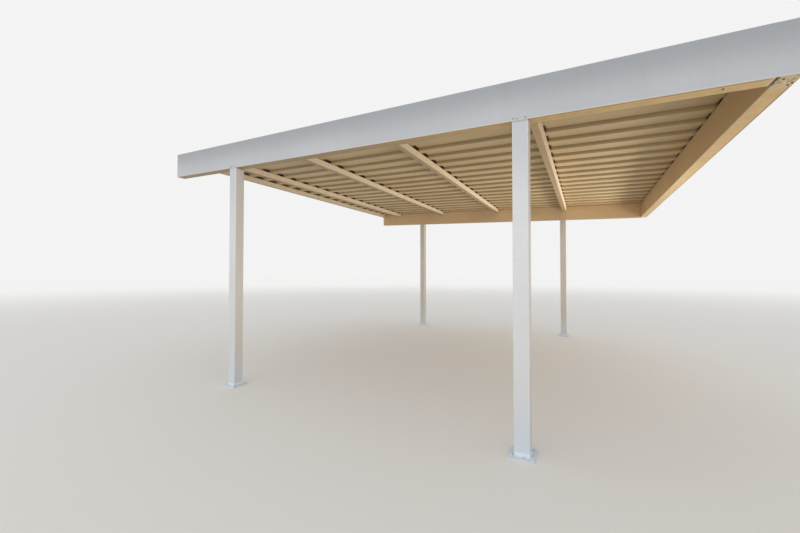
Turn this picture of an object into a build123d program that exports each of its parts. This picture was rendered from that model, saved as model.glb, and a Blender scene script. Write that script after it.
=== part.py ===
"""Steel carport with a low-sloped roof, open on all sides and fixed to a wall at its high end.

Four square posts on base plates carry a frame of deep box beams on three sides. Each box beam is two
folded channels set toe to toe. Light joists cross the frame under a ribbed steel deck, and a ledger
closes the end at the wall. The roof falls towards the street.

Millimetres, +Z up, +X towards the street, +Y towards the far side. The origin is on the ground, at the
middle of the roof's plan.
"""

import os
from math import cos, radians, sin

from build123d import *

os.makedirs("parts", exist_ok=True)

# Whole frame
frame_length = 5905.0
frame_width = 5486.4
plumb_allowance = 20.0
roof_fall = 2.25
clear_height = 2461.0

# Box beams: the outer channel is deeper than the inner one and hides the edge of the deck
outer_depth = 304.8
outer_top_flange = 38.0
inner_depth = 285.0
channel_flange = 50.8
channel_lip = 16.0
channel_wall = 2.0
channel_bend = 5.0
corner_gap = 8.0

# Posts, measured from the street face of the frame
post_size = 114.3
post_wall = 3.2
post_bend = 8.0
street_post_setback = 1456.0
post_spacing = 3278.0
cap_thickness = 4.0

# Base plates and their anchor holes
plate_size = 190.5
plate_thickness = 9.5
plate_corner = 6.0
anchor_spacing = 150.0
anchor_hole = 14.0

# Cross joists: the first is deeper and stands over the street posts, flush with their street faces. The
# others are set out from the wall end to their own street faces.
post_joist_depth = 114.3
joist_depth = 76.2
joist_flange = 70.0
joist_lip = 12.0
joist_wall = 1.5
joist_bend = 4.0
joists_from_wall = (3098.0, 1753.0, 532.0)
joist_end_gap = 2.0

# Angle clips that hold the joists to the side beams
clip_height = 56.0
clip_leg = 38.0
clip_wall = 3.0

# Straps that stand on the street posts' caps and bear the first joist
strap_wall = 3.0

# Ledger tube at the wall
ledger_depth = 76.2
ledger_width = 50.8
ledger_wall = 3.0
ledger_bend = 4.0

# Ribbed roof deck
rib_pitch = 280.0
rib_height = 30.0
rib_top_width = 140.0
rib_base_width = 190.0
ribs_per_panel = 3
deck_wall = 1.2
deck_edge_gap = 1.0
closure_length = 50.0

# Edge trims
trim_wall = 1.2
trim_inset = 4.0
trim_seat = 32.0
trim_cover = 70.0

# Sizes that follow
beam_width = 2 * channel_flange
half_length = frame_length / 2
half_width = frame_width / 2
fall = radians(roof_fall)
inner_span = frame_width - 2 * beam_width
crest_height = inner_depth + rib_height + deck_wall

# The roof is level across and falls towards the street. Its own x and y run along and across it, and
# its z is 0 at the underside of the beams. The small shift keeps the plan centred on the origin.
plan_shift = -outer_depth * sin(fall) / 2
street_post_x = half_length - street_post_setback
wall_post_x = street_post_x - post_spacing
joist_webs = [street_post_x + post_size / 2]
joist_webs += [from_wall - half_length for from_wall in joists_from_wall]
joist_depths = [post_joist_depth] + [joist_depth] * len(joists_from_wall)
roof_height = clear_height + street_post_x * sin(fall)
roof = Plane(
    origin=(plan_shift, 0, roof_height),
    x_dir=(cos(fall), 0, -sin(fall)),
    z_dir=(sin(fall), 0, cos(fall)),
)

# The frame's end at the wall is cut plumb
wall_end = Plane(
    origin=roof.from_local_coords(Vector(-half_length, 0, 0)), x_dir=(0, 1, 0), z_dir=(1, 0, 0)
)
wall_x = wall_end.origin.X
wall_start = -half_length - plumb_allowance


def plane_along_x(start_x):
    """A plane square to the roof's x: its own x is the roof's y and its y is the roof's z."""
    start = roof.from_local_coords(Vector(start_x, 0, 0))
    return Plane(origin=start, x_dir=roof.y_dir, z_dir=roof.x_dir)


def plane_along_y(start_y):
    """A plane square to the roof's y: its own x and y are the roof's x and z, and it faces near."""
    start = roof.from_local_coords(Vector(0, start_y, 0))
    return Plane(origin=start, x_dir=roof.x_dir, z_dir=-roof.y_dir)


def folded_strip(points, wall, bend, side=Side.RIGHT):
    """Sheet bent along the points, drawn in the open sketch with its thickness on one side."""
    with BuildLine() as outline:
        FilletPolyline(*points, radius=bend)
        offset(amount=wall, side=side)
    make_face(outline.edges())


def outer_channel_points(face, inward):
    """Outer channel from its top return to its lower lip. inward is 1 or -1."""
    toe = face + inward * channel_flange
    return [
        (face + inward * outer_top_flange, outer_depth),
        (face, outer_depth),
        (face, 0),
        (toe, 0),
        (toe, channel_lip),
    ]


def inner_channel_points(face, inward):
    """Inner channel from its upper lip to its lower lip, with its web away from the outer one."""
    toe = face + inward * channel_flange
    web = face + inward * beam_width
    return [
        (toe, inner_depth - channel_lip),
        (toe, inner_depth),
        (web, inner_depth),
        (web, 0),
        (toe, 0),
        (toe, channel_lip),
    ]


# Side beams, near and far. The outer web runs to the street corner. Its flanges and the inner channel
# stop there at an open seam before the street beam, which takes their place.
side_flange_end = half_length - beam_width - corner_gap
for side_name, face, inward in (("near", -half_width, 1), ("far", half_width, -1)):
    with BuildPart() as side_outer:
        with BuildSketch(plane_along_x(wall_start)):
            folded_strip(
                outer_channel_points(face, inward),
                channel_wall,
                channel_bend,
                Side.LEFT if inward > 0 else Side.RIGHT,
            )
        extrude(amount=half_length - wall_start)
        split(bisect_by=wall_end, keep=Keep.TOP)
        with BuildSketch(plane_along_x(side_flange_end)):
            with Locations((face + inward * (channel_wall + beam_width / 2), outer_depth / 2)):
                Rectangle(beam_width, outer_depth * 2)
        extrude(amount=beam_width + corner_gap, mode=Mode.SUBTRACT)
    side_outer.part.label = f"{side_name}_beam_outer"
    export_step(side_outer.part, f"parts/{side_name}_beam_outer.step")

    with BuildPart() as side_inner:
        with BuildSketch(plane_along_x(wall_start)):
            folded_strip(
                inner_channel_points(face, inward),
                channel_wall,
                channel_bend,
                Side.RIGHT if inward > 0 else Side.LEFT,
            )
        extrude(amount=side_flange_end - wall_start)
        split(bisect_by=wall_end, keep=Keep.TOP)
    side_inner.part.label = f"{side_name}_beam_inner"
    export_step(side_inner.part, f"parts/{side_name}_beam_inner.step")

# Street beam, between the outer webs of the side beams
street_beam_length = frame_width - 2 * channel_wall
with BuildPart() as street_outer:
    with BuildSketch(plane_along_y(half_width - channel_wall)):
        folded_strip(
            outer_channel_points(half_length, -1), channel_wall, channel_bend, Side.RIGHT
        )
    extrude(amount=street_beam_length)
street_outer.part.label = "street_beam_outer"
export_step(street_outer.part, "parts/street_beam_outer.step")

with BuildPart() as street_inner:
    with BuildSketch(plane_along_y(half_width - channel_wall)):
        folded_strip(
            inner_channel_points(half_length, -1), channel_wall, channel_bend, Side.LEFT
        )
    extrude(amount=street_beam_length)
street_inner.part.label = "street_beam_inner"
export_step(street_inner.part, "parts/street_beam_inner.step")

# Ledger: a plumb rectangular tube between the side beams, flush with their ends at the wall. The deck
# comes down to its street edge.
ledger_front = (wall_x + ledger_width - plan_shift - inner_depth * sin(fall)) / cos(fall)
ledger_top = roof.from_local_coords(Vector(ledger_front, 0, inner_depth)).Z
with BuildPart() as ledger:
    with BuildSketch(Plane.XZ.offset(-inner_span / 2)):
        with Locations((wall_x + ledger_width / 2, ledger_top - ledger_depth / 2)):
            RectangleRounded(ledger_width, ledger_depth, ledger_bend)
            RectangleRounded(
                ledger_width - 2 * ledger_wall,
                ledger_depth - 2 * ledger_wall,
                ledger_bend - ledger_wall,
                mode=Mode.SUBTRACT,
            )
    extrude(amount=inner_span)
ledger.part.label = "wall_ledger"
export_step(ledger.part, "parts/wall_ledger.step")

# Joists: lipped channels with their webs towards the street
joist_length = inner_span - 2 * joist_end_gap
joist_names = ("a", "b", "c", "d")
for joist_name, web_x, depth in zip(joist_names, joist_webs, joist_depths):
    toe_x = web_x - joist_flange
    joist_bottom = inner_depth - depth
    with BuildPart() as joist:
        with BuildSketch(plane_along_y(joist_length / 2)):
            folded_strip(
                [
                    (toe_x, inner_depth - joist_lip),
                    (toe_x, inner_depth),
                    (web_x, inner_depth),
                    (web_x, joist_bottom),
                    (toe_x, joist_bottom),
                    (toe_x, joist_bottom + joist_lip),
                ],
                joist_wall,
                joist_bend,
                Side.RIGHT,
            )
        extrude(amount=joist_length)
    joist.part.label = f"joist_{joist_name}"
    export_step(joist.part, f"parts/joist_{joist_name}.step")

# Clips: an angle inside each joist's end, one leg on the joist's web and one on the beam's. Straps: a
# plate on each side beam's inner face, as wide as a post, from the street post's cap up to the joist.
for side_name, end_y, inward in (("near", -inner_span / 2, 1), ("far", inner_span / 2, -1)):
    with BuildPart() as clips:
        for web_x, depth in zip(joist_webs, joist_depths):
            web_back_x = web_x - joist_wall
            clip_bottom = inner_depth - (depth + clip_height) / 2
            with BuildSketch(roof.offset(clip_bottom)):
                with Locations((web_back_x - clip_leg / 2, end_y + inward * clip_wall / 2)):
                    Rectangle(clip_leg, clip_wall)
                with Locations((web_back_x - clip_wall / 2, end_y + inward * clip_leg / 2)):
                    Rectangle(clip_wall, clip_leg)
            extrude(amount=clip_height)
    clips.part.label = f"joist_clips_{side_name}"
    export_step(clips.part, f"parts/joist_clips_{side_name}.step")

    with BuildPart() as strap:
        with BuildSketch(roof):
            with Locations((street_post_x, end_y + inward * strap_wall / 2)):
                Rectangle(post_size, strap_wall)
        extrude(amount=inner_depth - post_joist_depth)
    strap.part.label = f"post_strap_{side_name}"
    export_step(strap.part, f"parts/post_strap_{side_name}.step")

# Deck: panels of ribs that run down the roof's fall and meet on their low flats
deck_start_y = -half_width
deck_near_edge = -half_width + channel_wall + deck_edge_gap
deck_far_edge = half_width - channel_wall - deck_edge_gap
deck_street_edge = half_length - channel_flange - deck_edge_gap
far_trim_reach = outer_top_flange + deck_edge_gap + trim_wall + trim_cover
low_flat_width = rib_pitch - rib_base_width
rib_count = int((frame_width - far_trim_reach + low_flat_width / 2) // rib_pitch)
panel_count = -(-rib_count // ribs_per_panel)


def rib_points(centre):
    """The four corners of one rib's underside, from near to far."""
    return [
        (centre - rib_base_width / 2, inner_depth),
        (centre - rib_top_width / 2, inner_depth + rib_height),
        (centre + rib_top_width / 2, inner_depth + rib_height),
        (centre + rib_base_width / 2, inner_depth),
    ]


for panel in range(panel_count):
    first_rib = panel * ribs_per_panel
    last_rib = min(first_rib + ribs_per_panel, rib_count)
    panel_near = max(deck_start_y + first_rib * rib_pitch, deck_near_edge)
    panel_far = deck_start_y + last_rib * rib_pitch
    if last_rib == rib_count:
        panel_far = deck_far_edge
    profile = [(panel_near, inner_depth)]
    for rib in range(first_rib, last_rib):
        profile += rib_points(deck_start_y + (rib + 0.5) * rib_pitch)
    profile.append((panel_far, inner_depth))
    with BuildPart() as deck_panel:
        with BuildSketch(plane_along_x(wall_start)):
            with BuildLine():
                Polyline(*profile)
                offset(amount=deck_wall, side=Side.LEFT, kind=Kind.INTERSECTION)
            make_face()
        extrude(amount=deck_street_edge - wall_start)
        split(bisect_by=wall_end, keep=Keep.TOP)
    deck_panel.part.label = f"roof_panel_{panel + 1}"
    export_step(deck_panel.part, f"parts/roof_panel_{panel + 1}.step")

# Closures: a block of foam fills the end of each rib at the wall
with BuildPart() as closures:
    with BuildSketch(plane_along_x(wall_start)):
        for rib in range(rib_count):
            with BuildLine():
                Polyline(*rib_points(deck_start_y + (rib + 0.5) * rib_pitch), close=True)
            make_face()
    extrude(amount=plumb_allowance + closure_length)
    split(bisect_by=wall_end, keep=Keep.TOP)
closures.part.label = "rib_closures"
export_step(closures.part, "parts/rib_closures.step")

# Edge trims: folded strips seated on the outer channels' top returns. The near and street ones step up
# over the rib crests, and the far one steps down to the last flat.
trim_top = crest_height + trim_wall
seat_top = outer_depth + trim_wall
trim_bend = trim_wall + 1.0


def rising_trim_points(face, inward):
    """The upper face of a trim that steps up from an outer channel to the rib crests."""
    step = face + inward * (trim_inset + trim_seat)
    return [
        (face + inward * trim_inset, seat_top),
        (step, seat_top),
        (step, trim_top),
        (step + inward * trim_cover, trim_top),
    ]


with BuildPart() as near_trim:
    with BuildSketch(plane_along_x(wall_start)):
        folded_strip(rising_trim_points(-half_width, 1), trim_wall, trim_bend)
    extrude(amount=half_length - trim_inset - trim_seat - trim_cover - deck_edge_gap - wall_start)
    split(bisect_by=wall_end, keep=Keep.TOP)
near_trim.part.label = "edge_trim_near"
export_step(near_trim.part, "parts/edge_trim_near.step")

far_step = half_width - outer_top_flange - deck_edge_gap - trim_wall
far_flat_top = inner_depth + deck_wall + trim_wall
with BuildPart() as far_trim:
    with BuildSketch(plane_along_x(wall_start)):
        folded_strip(
            [
                (half_width - trim_inset, seat_top),
                (far_step, seat_top),
                (far_step, far_flat_top),
                (far_step - trim_cover, far_flat_top),
            ],
            trim_wall,
            trim_bend,
            Side.LEFT,
        )
    extrude(amount=deck_street_edge - wall_start)
    split(bisect_by=wall_end, keep=Keep.TOP)
far_trim.part.label = "edge_trim_far"
export_step(far_trim.part, "parts/edge_trim_far.step")

with BuildPart() as street_trim:
    with BuildSketch(plane_along_y(half_width - outer_top_flange - deck_edge_gap)):
        folded_strip(rising_trim_points(half_length, -1), trim_wall, trim_bend, Side.LEFT)
    extrude(amount=frame_width - 2 * (outer_top_flange + deck_edge_gap))
street_trim.part.label = "edge_trim_street"
export_step(street_trim.part, "parts/edge_trim_street.step")

# Posts: plumb square tubes with their outer faces flush with the side beams, each on a base plate and
# under a thin cap that lies on the roof's slope
post_y = half_width - post_size / 2
cap_underside = Plane(
    origin=roof.from_local_coords(Vector(0, 0, -cap_thickness)), x_dir=roof.x_dir, z_dir=roof.z_dir
)
post_places = (
    ("near_street", street_post_x, -post_y),
    ("near_wall", wall_post_x, -post_y),
    ("far_street", street_post_x, post_y),
    ("far_wall", wall_post_x, post_y),
)
for post_name, post_x, side_y in post_places:
    top_centre = roof.from_local_coords(Vector(post_x, side_y, 0))
    foot_x = top_centre.X
    with BuildPart() as post:
        with BuildSketch(Plane.XY.offset(plate_thickness)):
            with Locations((foot_x, side_y)):
                RectangleRounded(post_size, post_size, post_bend)
                RectangleRounded(
                    post_size - 2 * post_wall,
                    post_size - 2 * post_wall,
                    post_bend - post_wall,
                    mode=Mode.SUBTRACT,
                )
        extrude(amount=top_centre.Z)
        split(bisect_by=cap_underside, keep=Keep.BOTTOM)
    post.part.label = f"post_{post_name}"
    export_step(post.part, f"parts/post_{post_name}.step")

    with BuildPart() as cap:
        with BuildSketch(cap_underside):
            with Locations((post_x, side_y)):
                RectangleRounded(post_size, post_size, post_bend)
        extrude(amount=cap_thickness)
    cap.part.label = f"post_cap_{post_name}"
    export_step(cap.part, f"parts/post_cap_{post_name}.step")

    with BuildPart() as base_plate:
        with BuildSketch():
            with Locations((foot_x, side_y)):
                RectangleRounded(plate_size, plate_size, plate_corner)
                with GridLocations(anchor_spacing, anchor_spacing, 2, 2):
                    Circle(anchor_hole / 2, mode=Mode.SUBTRACT)
        extrude(amount=plate_thickness)
    base_plate.part.label = f"base_plate_{post_name}"
    export_step(base_plate.part, f"parts/base_plate_{post_name}.step")
    print(post_name, "foot at", round(foot_x, 3), round(side_y, 3), "top at", round(top_centre.Z, 3))

print("wall face at", round(wall_x, 3), "ledger from", round(ledger_top - ledger_depth, 3), ledger_top)
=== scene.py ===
import math
import random

import bmesh
import bpy
from mathutils import Matrix, Vector


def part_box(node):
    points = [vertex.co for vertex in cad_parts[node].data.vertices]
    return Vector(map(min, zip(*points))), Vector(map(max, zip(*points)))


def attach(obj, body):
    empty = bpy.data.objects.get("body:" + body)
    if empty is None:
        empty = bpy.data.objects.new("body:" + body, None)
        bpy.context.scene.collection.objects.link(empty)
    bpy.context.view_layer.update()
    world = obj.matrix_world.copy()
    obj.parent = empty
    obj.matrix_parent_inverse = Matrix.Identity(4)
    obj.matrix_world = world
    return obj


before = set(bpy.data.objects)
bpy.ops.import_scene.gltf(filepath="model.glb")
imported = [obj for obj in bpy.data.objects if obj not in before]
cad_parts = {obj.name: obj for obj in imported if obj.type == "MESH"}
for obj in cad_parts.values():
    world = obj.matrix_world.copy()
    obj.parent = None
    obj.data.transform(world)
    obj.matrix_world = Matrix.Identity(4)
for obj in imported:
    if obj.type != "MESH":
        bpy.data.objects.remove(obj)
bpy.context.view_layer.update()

scene = bpy.context.scene
scene.view_settings.view_transform = "Standard"

# Base plates. Each post stands on a thick steel plate that was painted in place along with it. Its white is
# painted bright and bluish, as painted skylight. The paint has chipped along the plate's edges and soil is
# smeared over it in places.
# Bright bluish white: painted skylight, also brushed round the posts' feet and over the anchors.
PLATE_SKYLIT_WHITE = (0.80, 0.89, 1.0, 1.0)
PLATE_SKYLIT_DULL = (0.72, 0.80, 0.90, 1.0)
SOIL = (0.20, 0.165, 0.125, 1.0)
CHIPPED_STEEL = (0.16, 0.12, 0.095, 1.0)
smear_strength = 0.4
post_names = ("near_street", "near_wall", "far_street", "far_wall")


def new_group(name, inputs, outputs):
    """An empty shader node group with named sockets, and its input and output nodes."""
    group = bpy.data.node_groups.new(name, "ShaderNodeTree")
    kinds = {"value": "NodeSocketFloat", "colour": "NodeSocketColor", "vector": "NodeSocketVector"}
    for socket_name, kind, default in inputs:
        socket = group.interface.new_socket(name=socket_name, in_out="INPUT", socket_type=kinds[kind])
        if default is not None:
            socket.default_value = default
    for socket_name, kind in outputs:
        group.interface.new_socket(name=socket_name, in_out="OUTPUT", socket_type=kinds[kind])
    return group, group.nodes.new("NodeGroupInput"), group.nodes.new("NodeGroupOutput")


def plug(tree, value, socket):
    """Links a socket, or writes a plain value, into an input."""
    if isinstance(value, bpy.types.NodeSocket):
        tree.links.new(value, socket)
    else:
        socket.default_value = value


def noise(tree, place, scale, detail=3.0, roughness=0.55, stretch=(1.0, 1.0, 1.0)):
    """The factor of a noise texture on a place stretched along its axes."""
    mapping = tree.nodes.new("ShaderNodeMapping")
    mapping.inputs["Scale"].default_value = stretch
    tree.links.new(place, mapping.inputs["Vector"])
    texture = tree.nodes.new("ShaderNodeTexNoise")
    texture.inputs["Scale"].default_value = scale
    texture.inputs["Detail"].default_value = detail
    texture.inputs["Roughness"].default_value = roughness
    tree.links.new(mapping.outputs["Vector"], texture.inputs["Vector"])
    return texture.outputs["Fac"]


def ramp(tree, value, low, high, low_result=0.0, high_result=1.0):
    """A value that passes smoothly between two results and is held beyond them."""
    node = tree.nodes.new("ShaderNodeMapRange")
    node.interpolation_type = "SMOOTHSTEP"
    node.inputs["From Min"].default_value = low
    node.inputs["From Max"].default_value = high
    node.inputs["To Min"].default_value = low_result
    node.inputs["To Max"].default_value = high_result
    tree.links.new(value, node.inputs["Value"])
    return node.outputs["Result"]


def maths(tree, operation, first, second=0.0):
    """One operation on two values. ABSOLUTE uses the first alone."""
    node = tree.nodes.new("ShaderNodeMath")
    node.operation = operation
    plug(tree, first, node.inputs[0])
    plug(tree, second, node.inputs[1])
    return node.outputs["Value"]


def blend(tree, factor, first, second):
    """A mix of two colours, through the colour sockets of a Mix node."""
    node = tree.nodes.new("ShaderNodeMix")
    node.data_type = "RGBA"
    plug(tree, factor, node.inputs[0])
    plug(tree, first, node.inputs[6])
    plug(tree, second, node.inputs[7])
    return node.outputs[2]


def build_paint_film():
    """Sprayed or rolled paint: cloudy tone, uneven sheen, slow waves of the sheet and a fine peel."""
    group, start, end = new_group(
        "paint_film",
        [("Vector", "vector", None), ("Wave", "value", 0.3), ("Peel", "value", 0.15)],
        [("Cloud", "value"), ("Sheen", "value"), ("Normal", "vector")],
    )
    place = start.outputs["Vector"]
    broad = noise(group, place, 1.1, 3.0, 0.5)
    fine = noise(group, place, 34.0, 5.0, 0.6)
    cloud = maths(group, "ADD", maths(group, "MULTIPLY", broad, 0.75), maths(group, "MULTIPLY", fine, 0.25))
    group.links.new(ramp(group, cloud, 0.34, 0.66), end.inputs["Cloud"])
    group.links.new(ramp(group, fine, 0.25, 0.75), end.inputs["Sheen"])
    sheet = group.nodes.new("ShaderNodeBump")
    sheet.inputs["Distance"].default_value = 0.006
    group.links.new(start.outputs["Wave"], sheet.inputs["Strength"])
    group.links.new(noise(group, place, 1.9, 1.0, 0.4), sheet.inputs["Height"])
    skin = group.nodes.new("ShaderNodeBump")
    skin.inputs["Distance"].default_value = 0.0005
    group.links.new(start.outputs["Peel"], skin.inputs["Strength"])
    group.links.new(noise(group, place, 380.0, 2.0, 0.5), skin.inputs["Height"])
    group.links.new(sheet.outputs["Normal"], skin.inputs["Normal"])
    group.links.new(skin.outputs["Normal"], end.inputs["Normal"])
    return group


def build_corner_dirt_and_shade():
    """Dust and dirt with painted shade in corners, laps and folds, and how nearly closed a place is. Open
    faces give 0.
    """
    group, start, end = new_group(
        "corner_dirt_and_shade",
        [("Vector", "vector", None), ("Amount", "value", 0.6), ("Reach", "value", 0.05)],
        [("Dirt and shade", "value"), ("Closed", "value")],
    )
    corner = group.nodes.new("ShaderNodeAmbientOcclusion")
    corner.samples = 8
    group.links.new(start.outputs["Reach"], corner.inputs["Distance"])
    closed = ramp(group, corner.outputs["AO"], 0.3, 0.95, 1.0, 0.0)
    patch = ramp(group, noise(group, start.outputs["Vector"], 22.0, 4.0, 0.6), 0.3, 0.7, 0.35, 1.0)
    dirt_and_shade = maths(group, "MULTIPLY", maths(group, "MULTIPLY", closed, patch), start.outputs["Amount"])
    group.links.new(dirt_and_shade, end.inputs["Dirt and shade"])
    group.links.new(ramp(group, corner.outputs["AO"], 0.08, 0.42, 1.0, 0.0), end.inputs["Closed"])
    return group


def build_edge_wear():
    """Paint worn or chipped along the arrises, broken up by noise."""
    group, start, end = new_group(
        "edge_wear",
        [("Vector", "vector", None), ("Amount", "value", 0.5)],
        [("Wear", "value")],
    )
    rounded = group.nodes.new("ShaderNodeBevel")
    rounded.samples = 6
    rounded.inputs["Radius"].default_value = 0.004
    surface = group.nodes.new("ShaderNodeNewGeometry")
    compare = group.nodes.new("ShaderNodeVectorMath")
    compare.operation = "DOT_PRODUCT"
    group.links.new(rounded.outputs["Normal"], compare.inputs[0])
    group.links.new(surface.outputs["Normal"], compare.inputs[1])
    edge = ramp(group, compare.outputs["Value"], 0.82, 0.985, 1.0, 0.0)
    chips = ramp(group, noise(group, start.outputs["Vector"], 75.0, 5.0, 0.65), 0.5, 0.62)
    wear = maths(group, "MULTIPLY", maths(group, "MULTIPLY", edge, chips), start.outputs["Amount"])
    group.links.new(wear, end.inputs["Wear"])
    return group


paint_film = build_paint_film()
corner_dirt_and_shade = build_corner_dirt_and_shade()
edge_wear = build_edge_wear()


class Paint:
    """A material with the shared effects. Its colour can be covered further once it is made."""

    def __init__(self, name, clean, dull, dirt_and_shade, bare, roughness, wave=0.3, peel=0.15, amount=0.6, wear=0.4):
        self.material = bpy.data.materials.new(name)
        self.material.use_nodes = True
        self.tree = self.material.node_tree
        self.shader = self.tree.nodes["Principled BSDF"]
        self.place = self.tree.nodes.new("ShaderNodeTexCoord").outputs["Object"]
        film = self.add_group(paint_film, Wave=wave, Peel=peel)
        corners = self.add_group(corner_dirt_and_shade, Amount=amount)
        worn = self.add_group(edge_wear, Amount=wear)
        self.closed = corners.outputs["Closed"]
        tone = blend(self.tree, film.outputs["Cloud"], clean, dull)
        # Closed places darken towards the dirt colour: dirt, with painted shade.
        dirt_and_shade_tone = blend(self.tree, corners.outputs["Dirt and shade"], tone, dirt_and_shade)
        self.set_colour(blend(self.tree, worn.outputs["Wear"], dirt_and_shade_tone, bare))
        smoothest = roughness - 0.06
        roughest = roughness + 0.08
        sheen = ramp(self.tree, film.outputs["Sheen"], 0.0, 1.0, smoothest, roughest)
        dirt_roughness = maths(self.tree, "MULTIPLY", corners.outputs["Dirt and shade"], 0.3)
        rough = maths(self.tree, "ADD", sheen, dirt_roughness)
        self.tree.links.new(rough, self.shader.inputs["Roughness"])
        self.tree.links.new(film.outputs["Normal"], self.shader.inputs["Normal"])

    def add_group(self, group, **values):
        """One shared group on the material's own place, with plain values on its inputs."""
        node = self.tree.nodes.new("ShaderNodeGroup")
        node.node_tree = group
        self.tree.links.new(self.place, node.inputs["Vector"])
        for key, value in values.items():
            node.inputs[key].default_value = value
        return node

    def set_colour(self, colour):
        """Makes a colour socket the paint's colour."""
        self.colour = colour
        self.tree.links.new(colour, self.shader.inputs["Base Color"])

    def cover(self, mask, colour):
        """Lays another colour over the paint where a mask is 1."""
        self.set_colour(blend(self.tree, mask, self.colour, colour))

    def dress(self, *nodes):
        """Gives CAD nodes this paint."""
        for node in nodes:
            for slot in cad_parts[node].material_slots:
                slot.material = self.material


plate_paint = Paint(
    "plate_paint", PLATE_SKYLIT_WHITE, PLATE_SKYLIT_DULL, SOIL, CHIPPED_STEEL, 0.55, peel=0.4, amount=0.3, wear=0.6
)
tree = plate_paint.tree
smear = ramp(tree, noise(tree, plate_paint.place, 17.0, 6.0, 0.7), 0.56, 0.70)
plate_paint.cover(maths(tree, "MULTIPLY", smear, smear_strength), SOIL)
plate_paint.dress(*[f"base_plate_{name}" for name in post_names])

# Anchors. Four studs with washers and hexagon nuts hold each plate down through its holes. They were
# painted over with the plate, and rust shows along the nuts' edges and on the threads.
RUST = (0.19, 0.080, 0.032, 1.0)
anchor_half_spacing = 0.075
stud_radius = 0.006
stud_rise = 0.022
thread_pitch = 0.0018
washer_radius = 0.0135
washer_thickness = 0.0025
nut_radius = 0.0112
nut_thickness = 0.010
hexagon_sides = 6
washer_sides = 20
thread_sides = 14


def add_turned(builder, profile, sides, seat):
    """A solid turned about a seat's z from (radius, height) pairs, closed at both ends."""
    rings = []
    for radius, height in profile:
        ring = []
        for step in range(sides):
            turn = 2 * math.pi * step / sides
            point = Vector((radius * math.cos(turn), radius * math.sin(turn), height))
            ring.append(builder.verts.new(seat @ point))
        rings.append(ring)
    for lower, upper in zip(rings, rings[1:]):
        for step in range(sides):
            after = (step + 1) % sides
            builder.faces.new((lower[step], lower[after], upper[after], upper[step]))
    builder.faces.new(list(reversed(rings[0])))
    builder.faces.new(rings[-1])


def add_piece(name, builder, material, smooth_angle=35.0):
    """Turns built mesh into a piece of the carport, shaded smooth except at its sharp edges."""
    bmesh.ops.recalc_face_normals(builder, faces=builder.faces)
    mesh = bpy.data.meshes.new(name)
    builder.to_mesh(mesh)
    builder.free()
    for face in mesh.polygons:
        face.use_smooth = True
    mesh.set_sharp_from_angle(angle=math.radians(smooth_angle))
    mesh.materials.append(material)
    piece = bpy.data.objects.new(name, mesh)
    scene.collection.objects.link(piece)
    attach(piece, "root")


anchor_paint = Paint(
    "anchor_paint", PLATE_SKYLIT_WHITE, PLATE_SKYLIT_DULL, SOIL, RUST, 0.5, peel=0.4, amount=0.3, wear=0.6
)
anchors = bmesh.new()
for name in post_names:
    low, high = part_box(f"base_plate_{name}")
    for side_x in (-1, 1):
        for side_y in (-1, 1):
            seat = Matrix.Translation((
                (low.x + high.x) / 2 + side_x * anchor_half_spacing,
                (low.y + high.y) / 2 + side_y * anchor_half_spacing,
                high.z,
            ))
            washer = [
                (washer_radius, 0.0),
                (washer_radius, washer_thickness - 0.0005),
                (washer_radius - 0.0005, washer_thickness),
                (stud_radius, washer_thickness),
            ]
            add_turned(anchors, washer, washer_sides, seat)
            nut_top = washer_thickness + nut_thickness
            nut_turn = 0.4 * side_x + 0.9 * side_y
            nut = [
                (nut_radius * 0.92, washer_thickness),
                (nut_radius, washer_thickness + 0.001),
                (nut_radius, nut_top - 0.0015),
                (nut_radius * 0.88, nut_top),
                (stud_radius, nut_top),
            ]
            add_turned(anchors, nut, hexagon_sides, seat @ Matrix.Rotation(nut_turn, 4, "Z"))
            thread = [(stud_radius * 0.85, nut_top - 0.001)]
            for turn in range(int((stud_rise - nut_top) / thread_pitch)):
                rise = nut_top + turn * thread_pitch
                thread.append((stud_radius, rise + thread_pitch * 0.3))
                thread.append((stud_radius * 0.86, rise + thread_pitch * 0.8))
            thread.append((stud_radius * 0.6, stud_rise))
            add_turned(anchors, thread, thread_sides, seat)
add_piece("anchors", anchors, anchor_paint.material)

# Posts. Four plumb square tubes, welded to their plates and rolled with white satin paint, with the plates'
# paint brushed round their feet. Painted light is laid on them: bluish skylight towards the feet, bluish
# shade towards the heads, a highlight along the rounded corners, warm bounce light on the street faces and
# warm shade on the far pair. Rain has splashed a little soil onto the lowest part.
POST_WHITE = (0.74, 0.75, 0.76, 1.0)
POST_DULL = (0.69, 0.70, 0.71, 1.0)
POST_EDGE_HIGHLIGHT = (0.84, 0.83, 0.79, 1.0)
POST_STREET_BOUNCE = (0.77, 0.71, 0.63, 1.0)
POST_FAR_SHADE = (0.60, 0.47, 0.32, 1.0)
POST_FOOT_SKYLIGHT = (0.66, 0.75, 0.86, 1.0)
POST_HEAD_SHADE = (0.49, 0.55, 0.62, 1.0)
BARE_STEEL = (0.30, 0.28, 0.26, 1.0)
brushed_height = 0.040
splashed_heights = (0.02, 0.30)
foot_heights = (0.05, 0.55)
head_heights = (1.85, 2.46)


def normal_parts(paint):
    """The x, y and z of the true normal."""
    surface = paint.tree.nodes.new("ShaderNodeNewGeometry")
    parts = paint.tree.nodes.new("ShaderNodeSeparateXYZ")
    paint.tree.links.new(surface.outputs["True Normal"], parts.inputs["Vector"])
    return parts.outputs


post_paint = Paint(
    "post_paint", POST_WHITE, POST_DULL, SOIL, BARE_STEEL, 0.36, wave=0.08, peel=0.22, amount=0.35, wear=0.25
)
tree = post_paint.tree
spot = tree.nodes.new("ShaderNodeSeparateXYZ")
tree.links.new(post_paint.place, spot.inputs["Vector"])
height = spot.outputs["Z"]
normal = normal_parts(post_paint)
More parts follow.
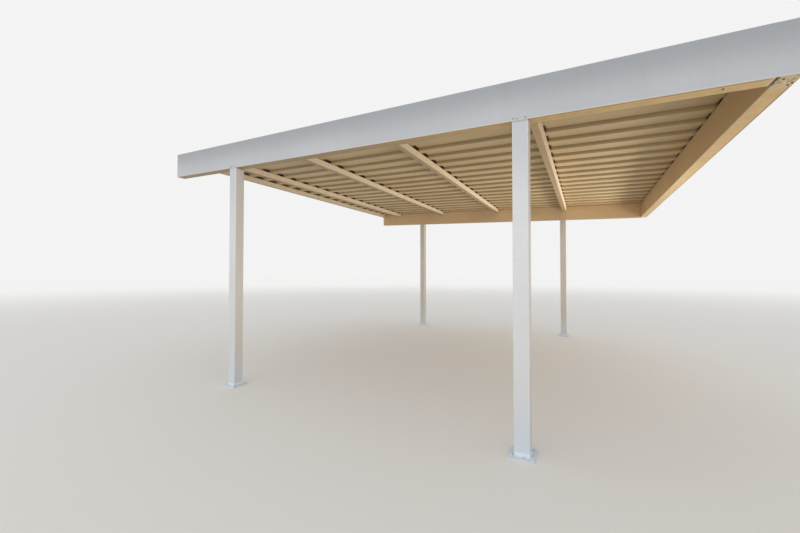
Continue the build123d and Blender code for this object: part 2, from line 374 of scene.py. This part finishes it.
# Bluish painted shade towards the posts' heads, under the beams.
post_paint.cover(ramp(tree, height, *head_heights, 0.0, 0.5), POST_HEAD_SHADE)
# Warm painted bounce light on the faces towards the street.
post_paint.cover(ramp(tree, normal["X"], 0.9, 0.99, 0.0, 0.85), POST_STREET_BOUNCE)
# Painted highlight along the rounded corners of the tubes.
on_bend = maths(tree, "ABSOLUTE", maths(tree, "MULTIPLY", normal["X"], normal["Y"]))
post_paint.cover(ramp(tree, on_bend, 0.1, 0.3, 0.0, 0.8), POST_EDGE_HIGHLIGHT)
# Warm painted shade on the far pair of posts.
post_paint.cover(ramp(tree, spot.outputs["Y"], 0.0, 1.0, 0.0, 0.4), POST_FAR_SHADE)
# Bluish painted skylight towards the posts' feet.
post_paint.cover(ramp(tree, height, *foot_heights, 0.6, 0.0), POST_FOOT_SKYLIGHT)
post_paint.cover(ramp(tree, height, brushed_height - 0.003, brushed_height, 0.85, 0.0), PLATE_SKYLIT_WHITE)
flecks = ramp(tree, noise(tree, post_paint.place, 55.0, 6.0, 0.7), 0.56, 0.72)
splashed = ramp(tree, height, *splashed_heights, 0.3, 0.0)
post_paint.cover(maths(tree, "MULTIPLY", splashed, flecks), SOIL)
post_paint.dress(*[f"post_{name}" for name in post_names])

# Welds. A fillet bead of weld metal runs all round each tube where it meets its plate. The weld's passes
# left it rippled, and it lies under the same paint as the plate.
weld_leg = 0.0065
weld_ripple = 0.004
tube_corner = 0.008
bead_top = 1.1
bead_section = ((-0.15, 0.0), (1.0, 0.0), (0.72, 0.55), (0.34, 0.92), (-0.15, bead_top))
bead_smoothing = 60.0
chance = random.Random(3)


def square_path(low, high, corner, step):
    """Points and outward directions round a square with rounded corners, counter-clockwise."""
    path = []
    inner_low = Vector((low.x + corner, low.y + corner))
    inner_high = Vector((high.x - corner, high.y - corner))
    centres = (
        (inner_high.x, inner_low.y, -90),
        (inner_high.x, inner_high.y, 0),
        (inner_low.x, inner_high.y, 90),
        (inner_low.x, inner_low.y, 180),
    )
    for centre_x, centre_y, first_turn in centres:
        for part in range(5):
            turn = math.radians(first_turn + 22.5 * part)
            away = Vector((math.cos(turn), math.sin(turn)))
            path.append((Vector((centre_x, centre_y)) + away * corner, away))
        turn = math.radians(first_turn + 90)
        away = Vector((math.cos(turn), math.sin(turn)))
        along = Vector((-away.y, away.x))
        length = inner_high.x - inner_low.x
        begin = path[-1][0]
        count = int(length / step)
        for part in range(1, count):
            path.append((begin + along * (length * part / count), away))
    return path


def add_bead(builder, path, leg, level):
    """A closed fillet bead on top of a level, along (point, outward direction) pairs."""
    rings = []
    for number, (point, away) in enumerate(path):
        swell = leg * (0.9 + 0.1 * (number % 2) + 0.14 * (chance.random() - 0.5))
        ring = []
        for out, rise in bead_section:
            spot = point + away * (out * swell)
            ring.append(builder.verts.new((spot.x, spot.y, level(spot.x) + rise * swell)))
        rings.append(ring)
    for first, second in zip(rings, rings[1:] + rings[:1]):
        for index in range(len(bead_section)):
            after = (index + 1) % len(bead_section)
            builder.faces.new((first[index], second[index], second[after], first[after]))


welds = bmesh.new()
for name in post_names:
    low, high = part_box(f"post_{name}")
    plate_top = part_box(f"base_plate_{name}")[1].z
    path = square_path(low, high, tube_corner, weld_ripple)
    add_bead(welds, path, weld_leg, lambda x: plate_top)
add_piece("post_welds", welds, plate_paint.material, bead_smoothing)

# Post caps. A thin plate closes each tube on the roof's slope, and a thin line of pale sealant closes the
# joint between the cap and the beam above it.
SEALANT = (0.68, 0.68, 0.67, 1.0)
SEALANT_DULL = (0.60, 0.59, 0.56, 1.0)
sealant_width = 0.0045
sealant_ripple = 0.012
roof_fall = math.radians(2.25)
clear_height = 2.461
outer_depth = 0.3048
street_post_x = 1.4965
beams_height = clear_height + street_post_x * math.sin(roof_fall)
roof = Matrix.Translation((-outer_depth * math.sin(roof_fall) / 2, 0.0, beams_height))
roof = roof @ Matrix.Rotation(roof_fall, 4, "Y")


def beam_underside(world_x):
    """Height of the beams' underside above the posts' level footing."""
    return roof.translation.z - (world_x - roof.translation.x) * math.tan(roof_fall)


post_paint.dress(*[f"post_cap_{name}" for name in post_names])
sealant = Paint(
    "sealant", SEALANT, SEALANT_DULL, SOIL, SEALANT, 0.5, wave=0.2, peel=0.6, amount=0.7, wear=0.0
)
joints = bmesh.new()
for name in post_names:
    low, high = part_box(f"post_{name}")
    path = square_path(low, high, tube_corner, sealant_ripple)
    add_bead(joints, path, sealant_width, lambda x: beam_underside(x) - sealant_width * bead_top)
add_piece("post_head_sealant", joints, sealant.material, bead_smoothing)

# Fascias. The outer channels of the three box beams are folded from wide sheet. They are off-white with
# streaks of rain dirt, painted darker towards the top as shade, with a painted highlight along the lower
# fold and painted warm bounce light in cream underneath.
FASCIA_WHITE = (0.57, 0.59, 0.62, 1.0)
FASCIA_DULL = (0.53, 0.55, 0.58, 1.0)
FASCIA_TOP_SHADE = (0.375, 0.395, 0.425, 1.0)
FASCIA_FOLD_HIGHLIGHT = (0.66, 0.64, 0.57, 1.0)
FASCIA_DIRT = (0.24, 0.215, 0.18, 1.0)
# Brown for dirt, and for painted shade under the roof.
CREAM_DIRT_AND_SHADE = (0.26, 0.175, 0.085, 1.0)
# Saturated cream for faces that look down: painted warm bounce light.
SOFFIT_BOUNCE = (0.90, 0.615, 0.27, 1.0)
SOFFIT_BOUNCE_DULL = (0.80, 0.53, 0.22, 1.0)
PATCH_CREAM = (0.98, 0.80, 0.52, 1.0)
# Near-black painted shadow.
PAINTED_SHADOW = (0.035, 0.024, 0.014, 1.0)
half_length = 2.9525
half_width = 2.7432
beam_width = 0.1016
corner_gap = 0.008
fold_radius = 0.016


def build_roof_place():
    """Place along, across and square to the sloping roof, in metres, from the beams' underside."""
    names = ("Along", "Across", "Height")
    outputs = [(name, "value") for name in names]
    group, start, end = new_group("roof_place", [("Vector", "vector", None)], outputs)
    for name, direction in zip(names, roof.to_3x3().col):
        measure = group.nodes.new("ShaderNodeVectorMath")
        measure.operation = "DOT_PRODUCT"
        measure.inputs[1].default_value = direction
        group.links.new(start.outputs["Vector"], measure.inputs[0])
        place = maths(group, "SUBTRACT", measure.outputs["Value"], direction.dot(roof.translation))
        group.links.new(place, end.inputs[name])
    return group


roof_place = build_roof_place()


def build_corner_marks():
    """Painted shadow along the open seam at each street corner, and a patch with brown mottling around it.
    """
    group, start, end = new_group(
        "corner_marks",
        [("Vector", "vector", None)],
        [("Seam", "value"), ("Patch", "value"), ("Mottle", "value")],
    )
    place = group.nodes.new("ShaderNodeGroup")
    place.node_tree = roof_place
    group.links.new(start.outputs["Vector"], place.inputs["Vector"])
    across = maths(group, "ABSOLUTE", place.outputs["Across"])
    at_side = ramp(group, across, half_width - beam_width - 0.01, half_width - beam_width)
    seam_x = half_length - beam_width - corner_gap / 2
    from_seam = maths(group, "ABSOLUTE", maths(group, "SUBTRACT", place.outputs["Along"], seam_x))
    seam = maths(group, "MULTIPLY", ramp(group, from_seam, 0.006, 0.013, 1.0, 0.0), at_side)
    group.links.new(seam, end.inputs["Seam"])
    near_street = ramp(group, place.outputs["Along"], half_length - 0.16, half_length - 0.10)
    near_side = ramp(group, across, half_width - 0.18, half_width - 0.11)
    patch = maths(group, "MULTIPLY", near_street, near_side)
    group.links.new(patch, end.inputs["Patch"])
    spots = ramp(group, noise(group, start.outputs["Vector"], 60.0, 4.0, 0.6), 0.46, 0.62)
    group.links.new(maths(group, "MULTIPLY", patch, spots), end.inputs["Mottle"])
    return group


corner_marks = build_corner_marks()


def paint_underside_bounce_and_shade(paint):
    """Covers the faces that look down: painted warm bounce light in cream, painted shade towards the ledger,
    the far side, on the joists and in closed places, darker along the outer folds, and the corner marks.
    """
    tree = paint.tree
    place = paint.add_group(roof_place).outputs
    mottle = ramp(tree, noise(tree, paint.place, 14.0, 5.0, 0.6), 0.35, 0.7)
    bounce_tone = blend(tree, mottle, SOFFIT_BOUNCE, SOFFIT_BOUNCE_DULL)
    # Painted shade towards the ledger, on the joists' flanges and towards the far side.
    towards_ledger = ramp(tree, place["Along"], -0.8, 3.0, 0.78, 0.03)
    on_joists = ramp(tree, place["Height"], 0.05, 0.10, 0.0, 0.58)
    far_side = ramp(tree, place["Across"], -1.0, 1.6, 0.0, 0.70)
    across = maths(tree, "ABSOLUTE", place["Across"])
    side_fold = ramp(tree, across, half_width - fold_radius, half_width - fold_radius + 0.005, 0.0, 0.6)
    street_fold = ramp(
        tree, place["Along"], half_length - fold_radius, half_length - fold_radius + 0.005, 0.0, 0.6
    )
    underside_darkening = paint.closed
    for layer in (towards_ledger, on_joists, far_side, side_fold, street_fold):
        underside_darkening = maths(tree, "MAXIMUM", underside_darkening, layer)
    toned = blend(tree, underside_darkening, bounce_tone, CREAM_DIRT_AND_SHADE)
    marks = paint.add_group(corner_marks).outputs
    patched = blend(tree, maths(tree, "MULTIPLY", marks["Patch"], 0.7), toned, PATCH_CREAM)
    mottled = blend(tree, maths(tree, "MULTIPLY", marks["Mottle"], 0.28), patched, CREAM_DIRT_AND_SHADE)
    # Painted shadow along the corner seam.
    seamed = blend(tree, maths(tree, "MULTIPLY", marks["Seam"], 0.85), mottled, PAINTED_SHADOW)
    paint.cover(ramp(tree, normal_parts(paint)["Z"], -0.8, -0.5, 1.0, 0.0), seamed)


fascia_paint = Paint(
    "fascia_paint", FASCIA_WHITE, FASCIA_DULL, FASCIA_DIRT, BARE_STEEL, 0.42, wave=0.35, amount=0.4, wear=0.2
)
tree = fascia_paint.tree
height = fascia_paint.add_group(roof_place).outputs["Height"]
# Painted shade, darker towards the top.
fascia_paint.cover(ramp(tree, height, 0.03, 0.30, 0.0, 0.9), FASCIA_TOP_SHADE)
rain = noise(tree, fascia_paint.place, 7.0, 5.0, 0.6, stretch=(1.0, 1.0, 0.05))
fascia_paint.cover(ramp(tree, rain, 0.5, 0.8, 0.0, 0.12), FASCIA_DIRT)
# Painted highlight along the lower fold.
fascia_paint.cover(ramp(tree, height, 0.007, 0.013, 0.8, 0.0), FASCIA_FOLD_HIGHLIGHT)
paint_underside_bounce_and_shade(fascia_paint)
fascia_paint.dress("near_beam_outer", "far_beam_outer", "street_beam_outer")

# Inner channels, ledger, joists, clips and straps. The deck shelters these lighter steel sections. They keep
# their cream paint, with a painted highlight on the faces towards the street, painted shade on those towards
# the wall, painted bounce light and shade on those that look down, darker along the folds, and a painted
# shadow along their tops under the deck.
CREAM = (0.70, 0.505, 0.285, 1.0)
CREAM_DULL = (0.62, 0.435, 0.235, 1.0)
CREAM_STREET_LIT = (0.88, 0.73, 0.52, 1.0)
inner_depth = 0.285
frame_paint = Paint(
    "frame_paint", CREAM, CREAM_DULL, CREAM_DIRT_AND_SHADE, BARE_STEEL, 0.42, wave=0.12, amount=0.5, wear=0.2
)
paint_underside_bounce_and_shade(frame_paint)
tree = frame_paint.tree
facing = normal_parts(frame_paint)["X"]
# Painted highlight on the faces towards the street.
frame_paint.cover(ramp(tree, facing, 0.4, 0.9, 0.0, 0.9), CREAM_STREET_LIT)
# Painted shade on the faces towards the wall.
frame_paint.cover(ramp(tree, facing, -0.9, -0.4, 0.16, 0.0), CREAM_DIRT_AND_SHADE)
height = frame_paint.add_group(roof_place).outputs["Height"]
# Painted shadow along the tops, just under the deck.
frame_paint.cover(ramp(tree, height, inner_depth - 0.004, inner_depth - 0.001, 0.0, 0.9), PAINTED_SHADOW)
frame_paint.dress("near_beam_inner", "far_beam_inner", "street_beam_inner", "wall_ledger")
frame_paint.dress("joist_a", "joist_b", "joist_c", "joist_d", "joist_clips_near", "joist_clips_far")
frame_paint.dress("post_strap_near", "post_strap_far")

# Seam sealant. The two channels of each beam meet toe to toe, and a bead the colour of their paint fills
# the groove between their folds underneath.
seam_section = ((-2.5, 0.9), (-1.2, 0.5), (1.2, 0.5), (2.5, 0.9), (0.9, 2.2), (0.0, 4.6), (-0.9, 2.2))


def add_seam(builder, begin, end, across, step=0.03):
    """A closed bead between two places on the beams' underside, in the roof's frame."""
    count = int((end - begin).length / step)
    rings = []
    for part in range(count + 1):
        centre = begin.lerp(end, part / count)
        swell = 0.001 * (0.9 + 0.2 * chance.random())
        ring = []
        for out, rise in seam_section:
            point = centre + across * (out * swell) + Vector((0, 0, rise * swell))
            ring.append(builder.verts.new(roof @ point))
        rings.append(ring)
    for first, second in zip(rings, rings[1:]):
        for index in range(len(seam_section)):
            after = (index + 1) % len(seam_section)
            builder.faces.new((first[index], second[index], second[after], first[after]))
    builder.faces.new(list(reversed(rings[0])))
    builder.faces.new(rings[-1])


seams = bmesh.new()
seam_inset = beam_width / 2
for side_y in (-1, 1):
    seam_y = side_y * (half_width - seam_inset)
    begin = Vector((-half_length + 0.002, seam_y, 0.0))
    end = Vector((half_length - beam_width - corner_gap, seam_y, 0.0))
    add_seam(seams, begin, end, Vector((0, 1, 0)))
begin = Vector((half_length - seam_inset, -half_width + 0.003, 0.0))
add_seam(seams, begin, Vector((begin.x, -begin.y, 0.0)), Vector((1, 0, 0)))
add_piece("seam_sealant", seams, frame_paint.material, bead_smoothing)

# Roof deck. Seven ribbed sheets run down the fall. Underneath they are tan, with painted shade on the slopes
# of the ribs, towards the near side and in closed places, and a painted shadow over each support. On top
# they are bleached and streaked.
TAN = (0.71, 0.53, 0.285, 1.0)
TAN_DULL = (0.62, 0.455, 0.235, 1.0)
TAN_DIRT_AND_SHADE = (0.22, 0.155, 0.08, 1.0)
BLEACHED = (0.60, 0.575, 0.51, 1.0)
BLEACHED_DIRT = (0.43, 0.395, 0.335, 1.0)
rib_height = 0.030
joist_flange = 0.070
joist_places = (1.55365, 0.1455, -1.1995, -2.4205)


def over_supports(tree, along):
    """A mask of the deck over the joists, the street beam and the ledger."""
    over_beam = ramp(tree, along, half_length - beam_width, half_length - beam_width + 0.012)
    over_ledger = ramp(tree, along, -half_length + 0.05, -half_length + 0.07, 1.0, 0.0)
    mask = maths(tree, "MAXIMUM", over_beam, over_ledger)
    for street_face in joist_places:
        started = ramp(tree, along, street_face - joist_flange - 0.035, street_face - joist_flange)
        stopped = ramp(tree, along, street_face + 0.006, street_face + 0.020, 1.0, 0.0)
        mask = maths(tree, "MAXIMUM", mask, maths(tree, "MULTIPLY", started, stopped))
    return mask


deck_paint = Paint(
    "deck_paint", TAN, TAN_DULL, TAN_DIRT_AND_SHADE, BARE_STEEL, 0.46, wave=0.15, amount=0.55, wear=0.2
)
tree = deck_paint.tree
place = deck_paint.add_group(roof_place).outputs
normal = normal_parts(deck_paint)
# Painted shade on the far slopes of the ribs, deeper towards the crest.
far_slope = ramp(tree, normal["Y"], -0.6, -0.3, 1.0, 0.0)
rising = ramp(tree, place["Height"], inner_depth, inner_depth + rib_height, 0.30, 0.68)
deck_paint.cover(maths(tree, "MULTIPLY", far_slope, rising), TAN_DIRT_AND_SHADE)
# Painted shade on the near slopes of the ribs.
deck_paint.cover(ramp(tree, normal["Y"], 0.3, 0.6, 0.0, 0.35), TAN_DIRT_AND_SHADE)
# Painted shade towards the near side.
deck_paint.cover(ramp(tree, place["Across"], -half_width, -0.3, 0.32, 0.0), TAN_DIRT_AND_SHADE)
# Painted shadow inside the ribs over each support.
rib_foot = inner_depth + 0.05 * rib_height
rib_middle = inner_depth + 0.45 * rib_height
in_rib = ramp(tree, place["Height"], rib_foot, rib_middle, 0.0, 0.9)
deck_paint.cover(maths(tree, "MULTIPLY", in_rib, over_supports(tree, place["Along"])), PAINTED_SHADOW)
# Painted shade in closed places.
deck_paint.cover(maths(tree, "MULTIPLY", deck_paint.closed, 0.95), PAINTED_SHADOW)
down_the_fall = noise(tree, deck_paint.place, 9.0, 5.0, 0.6, stretch=(0.08, 1.0, 1.0))
weathered = blend(tree, ramp(tree, down_the_fall, 0.4, 0.75), BLEACHED, BLEACHED_DIRT)
deck_paint.cover(ramp(tree, normal["Z"], 0.0, 0.05), weathered)
deck_paint.dress(*sorted(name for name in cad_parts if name.startswith("roof_panel_")))

# Rib closures. A block of dark closed-cell foam plugs the end of each rib over the ledger. Its cut faces are
# pitted and have gathered dust.
FOAM = (0.055, 0.050, 0.045, 1.0)
FOAM_DULL = (0.085, 0.075, 0.065, 1.0)
closure_foam = Paint(
    "closure_foam", FOAM, FOAM_DULL, TAN_DIRT_AND_SHADE, FOAM_DULL, 0.85, wave=0.0, peel=0.9, amount=0.4, wear=0.0
)
closure_foam.dress("rib_closures")

# Edge trims. Thin folded strips close the deck's edges on three sides. They carry the fascias' paint and
# have weathered like their upper edges.
TRIM_WHITE = (0.50, 0.505, 0.51, 1.0)
TRIM_DULL = (0.42, 0.425, 0.43, 1.0)
trim_paint = Paint(
    "trim_paint", TRIM_WHITE, TRIM_DULL, FASCIA_DIRT, BARE_STEEL, 0.42, wave=0.4, amount=0.5, wear=0.3
)
trim_paint.dress("edge_trim_near", "edge_trim_far", "edge_trim_street")

# Screws. Plated steel ones with hexagon heads go through fascias, joists, ledger, deck and trims into the
# pieces behind them. Those in the deck and trims sit on dark rubber washers, and those underneath the street
# corners have rusted brown.
SCREW_ZINC = (0.34, 0.33, 0.31, 1.0)
SCREW_RUSTED = (0.13, 0.085, 0.04, 1.0)
RUBBER = (0.035, 0.034, 0.033, 1.0)
sheet_wall = 0.0012
rib_pitch = 0.280
rib_count = 19
joist_depths = (0.1143, 0.0762, 0.0762, 0.0762)
wall_post_x = -1.7815
flange_sides = 18
web_screw_size = 0.0055
corner_screw_size = 0.006
ledger_screw_size = 0.008
roofing_screw_size = 0.0062
sealing_profile = ((0.0075, 0.0), (0.0078, 0.001), (0.0068, 0.0022), (0.0040, 0.0024))
sealing_rise = 0.002
post_screws = ((-0.050, 0.019), (-0.020, 0.015), (0.038, 0.0157))
corner_screw_places = ((2.8802, 2.7077), (2.9266, 2.6202), (2.9360, 2.6431), (2.6282, 2.7076))
joist_screw_y = 2.6206
joist_screw_rises = (-0.016, 0.016)
ledger_screw_count = 9
ledger_screws_from = -2.4
ledger_screw_spacing = 0.6
ledger_screw_stagger = 0.018
deck_screw_scatter = 0.004
ledger_inset = 0.028
street_beam_inset = 0.076
trim_screw_count = 14
trim_screws_from = -2.75
trim_screw_spacing = 0.42
trim_edge_inset = 0.020
trim_far_edge_inset = 0.021
trim_lap_inset = 0.088


def plated_steel(name, colour, roughness, rust_from, rust_to):
    """Plated steel that has started to rust in patches."""
    material = bpy.data.materials.new(name)
    material.use_nodes = True
    tree = material.node_tree
    shader = tree.nodes["Principled BSDF"]
    place = tree.nodes.new("ShaderNodeTexCoord").outputs["Object"]
    rusty = ramp(tree, noise(tree, place, 150.0, 4.0, 0.6), rust_from, rust_to)
    tree.links.new(blend(tree, rusty, colour, RUST), shader.inputs["Base Color"])
    tree.links.new(ramp(tree, rusty, 0.0, 1.0, 0.8, 0.0), shader.inputs["Metallic"])
    tree.links.new(ramp(tree, rusty, 0.0, 1.0, roughness, 0.85), shader.inputs["Roughness"])
    bump = tree.nodes.new("ShaderNodeBump")
    bump.inputs["Distance"].default_value = 0.0003
    bump.inputs["Strength"].default_value = 0.5
    tree.links.new(noise(tree, place, 700.0, 3.0, 0.6), bump.inputs["Height"])
    tree.links.new(bump.outputs["Normal"], shader.inputs["Normal"])
    return material


screw_steel = plated_steel("screw_steel", SCREW_ZINC, 0.4, 0.46, 0.62)
rubber = bpy.data.materials.new("sealing_rubber")
rubber.use_nodes = True
tree = rubber.node_tree
rubber_shader = tree.nodes["Principled BSDF"]
rubber_place = tree.nodes.new("ShaderNodeTexCoord").outputs["Object"]
toned = ramp(tree, noise(tree, rubber_place, 300.0, 4.0, 0.6), 0.4, 0.7)
rubber_colour = blend(tree, maths(tree, "MULTIPLY", toned, 0.3), RUBBER, BLEACHED_DIRT)
tree.links.new(rubber_colour, rubber_shader.inputs["Base Color"])
tree.links.new(ramp(tree, toned, 0.0, 1.0, 0.6, 0.9), rubber_shader.inputs["Roughness"])


def seat_on(place, outward):
    """A seat whose z points outward from a surface, both in the roof's frame."""
    turn = Vector(outward).to_track_quat("Z", "Y").to_matrix().to_4x4()
    return roof @ Matrix.Translation(place) @ turn


def any_turn():
    """A different turn for each screw head, in radians."""
    return chance.random() * 6.0


def add_screw(builder, seat, size, turn, raised=0.0):
    """A hexagon head on its own flange. size is the flange's radius."""
    flange = [
        (size, raised),
        (size, raised + size * 0.12),
        (size * 0.72, raised + size * 0.26),
    ]
    add_turned(builder, flange, flange_sides, seat)
    head = [
        (size * 0.66, raised + size * 0.1),
        (size * 0.66, raised + size * 0.78),
        (size * 0.55, raised + size * 0.9),
        (size * 0.32, raised + size * 0.84),
    ]
    add_turned(builder, head, hexagon_sides, seat @ Matrix.Rotation(turn, 4, "Z"))


screws = bmesh.new()
corner_screws = bmesh.new()
washers = bmesh.new()


def add_sealed_screw(place):
    """A roofing screw standing on a rubber washer, on an upward face."""
    seat = seat_on(place, (0, 0, 1))
    add_turned(washers, sealing_profile, flange_sides, seat)
    add_screw(screws, seat, roofing_screw_size, any_turn(), sealing_rise)


for side_y in (-1, 1):
    for post_x in (street_post_x, wall_post_x):
        for along, above in post_screws:
            seat = seat_on((post_x + along, side_y * half_width, above), (0, side_y, 0))
            add_screw(screws, seat, web_screw_size, any_turn())
    for place_x, place_y in corner_screw_places:
        seat = seat_on((place_x, side_y * place_y, 0.0), (0, 0, -1))
        add_screw(corner_screws, seat, corner_screw_size, any_turn())
    for street_face, depth in zip(joist_places, joist_depths):
        for rise in joist_screw_rises:
            place = (street_face, side_y * joist_screw_y, inner_depth - depth / 2 + rise)
            add_screw(screws, seat_on(place, (1, 0, 0)), web_screw_size, any_turn())
ledger_low, ledger_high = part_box("wall_ledger")
for step in range(ledger_screw_count):
    stagger = ledger_screw_stagger if step % 2 else -ledger_screw_stagger
    across = ledger_screws_from + ledger_screw_spacing * step
    place = Vector((ledger_high.x, across, (ledger_low.z + ledger_high.z) / 2 + stagger))
    seat = Matrix.Translation(place) @ Matrix.Rotation(math.pi / 2, 4, "Y")
    add_screw(screws, seat, ledger_screw_size, 0.3 * step)
support_places = [street_face - joist_flange / 2 for street_face in joist_places]
support_places += [-half_length + ledger_inset, half_length - street_beam_inset]
for place_x in support_places:
    for flat in range(1, rib_count + 1):
        along = place_x + deck_screw_scatter * (chance.random() - 0.5)
        add_sealed_screw((along, -half_width + rib_pitch * flat, inner_depth + sheet_wall))
trim_top = outer_depth + sheet_wall
trim_on_ribs = inner_depth + rib_height + 2 * sheet_wall
for step in range(trim_screw_count):
    along = trim_screws_from + trim_screw_spacing * step
    add_sealed_screw((along, -half_width + trim_edge_inset, trim_top))
    add_sealed_screw((along, half_width - trim_far_edge_inset, trim_top))
    add_sealed_screw((along - 0.08 * (step > 0), -half_width + trim_lap_inset, trim_on_ribs))
for rib in range(rib_count):
    across = -half_width + rib_pitch * (rib + 0.5)
    add_sealed_screw((half_length - trim_lap_inset, across, trim_on_ribs))
    if rib % 2:
        add_sealed_screw((half_length - trim_edge_inset, across, trim_top))
add_piece("screws", screws, screw_steel, 30.0)
rusted_steel = plated_steel("rusted_screw", SCREW_RUSTED, 0.6, 0.30, 0.50)
add_piece("corner_screws", corner_screws, rusted_steel, 30.0)
add_piece("sealing_washers", washers, rubber, 30.0)

# Street corners. Where the side beams butt on the street beam, the joint is smeared with dabs of warm
# cream sealant that have browned with dirt.
CORNER_CREAM = (0.88, 0.72, 0.47, 1.0)
CORNER_BROWN = (0.52, 0.37, 0.19, 1.0)
dabs_a_corner = 44
dabs_from = (2.860, 2.648)
joint_spread = 0.014
flange_spread = 0.082
side_spread = 0.086
dab_sides = 14
corner_paint = Paint(
    "corner_sealant",
    CORNER_CREAM,
    CORNER_BROWN,
    CREAM_DIRT_AND_SHADE,
    CORNER_CREAM,
    0.55,
    peel=0.6,
    amount=0.8,
    wear=0.0,
)
dabs = bmesh.new()
for side_y in (-1, 1):
    for number in range(dabs_a_corner):
        spread = joint_spread if number % 2 else flange_spread
        place_x = dabs_from[0] + spread * chance.random()
        place_y = dabs_from[1] + side_spread * chance.random()
        length = 0.004 + 0.009 * chance.random()
        seat = seat_on((place_x, side_y * place_y, 0.0), (0, 0, -1))
        seat = seat @ Matrix.Rotation(chance.random() * 3.0, 4, "Z")
        seat = seat @ Matrix.Diagonal((1.0, 0.4 + 0.5 * chance.random(), 0.12, 1.0))
        dome = [(length, 0.0), (length * 0.92, length * 0.4), (length * 0.6, length * 0.8), (0.001, length)]
        add_turned(dabs, dome, dab_sides, seat)
add_piece("corner_sealant", dabs, corner_paint.material, bead_smoothing)

# Inside the same corners an upright bead closes the seam between the two inner webs. It is the colour of
# their paint and stands just behind their faces.
bead_radius = corner_gap / 2
bead_step = 0.006
bead_steps = 46
bead_sides = 12
inner_beads = bmesh.new()
for side_y in (-1, 1):
    seam_x = half_length - beam_width - bead_radius
    seat = roof @ Matrix.Translation((seam_x, side_y * (half_width - beam_width + 0.0005), 0.0))
    seat = seat @ Matrix.Diagonal((1.0, 0.35, 1.0, 1.0))
    bead = []
    for part in range(bead_steps):
        swell = bead_radius * (1.0 + 0.08 * chance.random())
        bead.append((swell, bead_step + bead_step * part))
    add_turned(inner_beads, bead, bead_sides, seat)
add_piece("inner_corner_beads", inner_beads, frame_paint.material, bead_smoothing)

# Studio. A pale floor under a pale, even backdrop. One broad lamp lights the near side and its fascia. A low
# one beyond the street end throws light up under the roof, as a bright floor would.
FLOOR = (0.73, 0.71, 0.675, 1.0)
FLOOR_GLOW = (0.93, 0.97, 1.0, 1.0)
floor_half = 90.0
glow_from = 5.0
glow_to = 35.0
glow_near = 0.12
glow_far = 0.38
backdrop_strength = 0.69
shown_backdrop_strength = 0.90


def shown_rays(tree):
    """1 for rays that show a surface, straight, in gloss or through glass. 0 for those that light one."""
    path = tree.nodes.new("ShaderNodeLightPath").outputs
    straight_or_gloss = maths(tree, "MAXIMUM", path["Is Camera Ray"], path["Is Glossy Ray"])
    return maths(tree, "MAXIMUM", straight_or_gloss, path["Is Transmission Ray"])


floor_mesh = bpy.data.meshes.new("studio_floor")
floor_builder = bmesh.new()
bmesh.ops.create_grid(floor_builder, x_segments=8, y_segments=8, size=floor_half)
floor_builder.to_mesh(floor_mesh)
floor_builder.free()
floor = bpy.data.objects.new("studio_floor", floor_mesh)
scene.collection.objects.link(floor)
floor_material = bpy.data.materials.new("studio_floor")
floor_material.use_nodes = True
tree = floor_material.node_tree
floor_shader = tree.nodes["Principled BSDF"]
floor_shader.inputs["Base Color"].default_value = FLOOR
floor_shader.inputs["Roughness"].default_value = 0.9
floor_shader.inputs["Emission Color"].default_value = FLOOR_GLOW
distance = tree.nodes.new("ShaderNodeVectorMath")
distance.operation = "LENGTH"
tree.links.new(tree.nodes.new("ShaderNodeTexCoord").outputs["Object"], distance.inputs[0])
glow = ramp(tree, distance.outputs["Value"], glow_from, glow_to, glow_near, glow_far)
glow = maths(tree, "MULTIPLY", shown_rays(tree), glow)
tree.links.new(glow, floor_shader.inputs["Emission Strength"])
floor_mesh.materials.append(floor_material)

world = bpy.data.worlds.new("studio")
scene.world = world
world.use_nodes = True
tree = world.node_tree
backdrop = tree.nodes["Background"]
backdrop.inputs["Color"].default_value = (1.0, 1.0, 1.0, 1.0)
strength = ramp(tree, shown_rays(tree), 0.0, 1.0, backdrop_strength, shown_backdrop_strength)
tree.links.new(strength, backdrop.inputs["Strength"])


def soft_lamp(name, place, target, width, height, power, spread):
    """A wide area lamp at a place, aimed at a target. The camera doesn't see the lamp itself."""
    lamp_data = bpy.data.lights.new(name, "AREA")
    lamp_data.shape = "RECTANGLE"
    lamp_data.size = width
    lamp_data.size_y = height
    lamp_data.energy = power
    lamp_data.spread = math.radians(spread)
    lamp = bpy.data.objects.new(name, lamp_data)
    lamp.visible_camera = False
    scene.collection.objects.link(lamp)
    lamp.location = place
    lamp.rotation_euler = (Vector(target) - Vector(place)).to_track_quat("-Z", "Y").to_euler()


soft_lamp(
    "near_front", (-1.0, -12.0, 2.2), (0.0, 0.0, 2.4), width=12.0, height=1.4, power=117.0, spread=110.0
)
soft_lamp(
    "street_apron", (5.4, 2.0, 0.55), (1.9, 1.4, 2.75), width=4.4, height=1.1, power=66.0, spread=95.0
)

# Camera. It stands on the near side at eye height with a wide lens, tilted up very slightly, and looks
# across the carport towards the ledger.
camera_place = (1.9059, -5.3494, 1.3435)
camera_turn = math.radians(28.562)
camera_tilt = math.radians(0.986)
focal_pixels = 341.21
image_width = 800
sensor_width = 36.0
camera_data = bpy.data.cameras.new("camera")
camera_data.sensor_width = sensor_width
camera_data.lens = focal_pixels / image_width * sensor_width
camera_data.clip_end = 400.0
camera = bpy.data.objects.new("camera", camera_data)
scene.collection.objects.link(camera)
camera.location = camera_place
camera.rotation_euler = (math.radians(90) + camera_tilt, 0.0, camera_turn)
scene.camera = camera
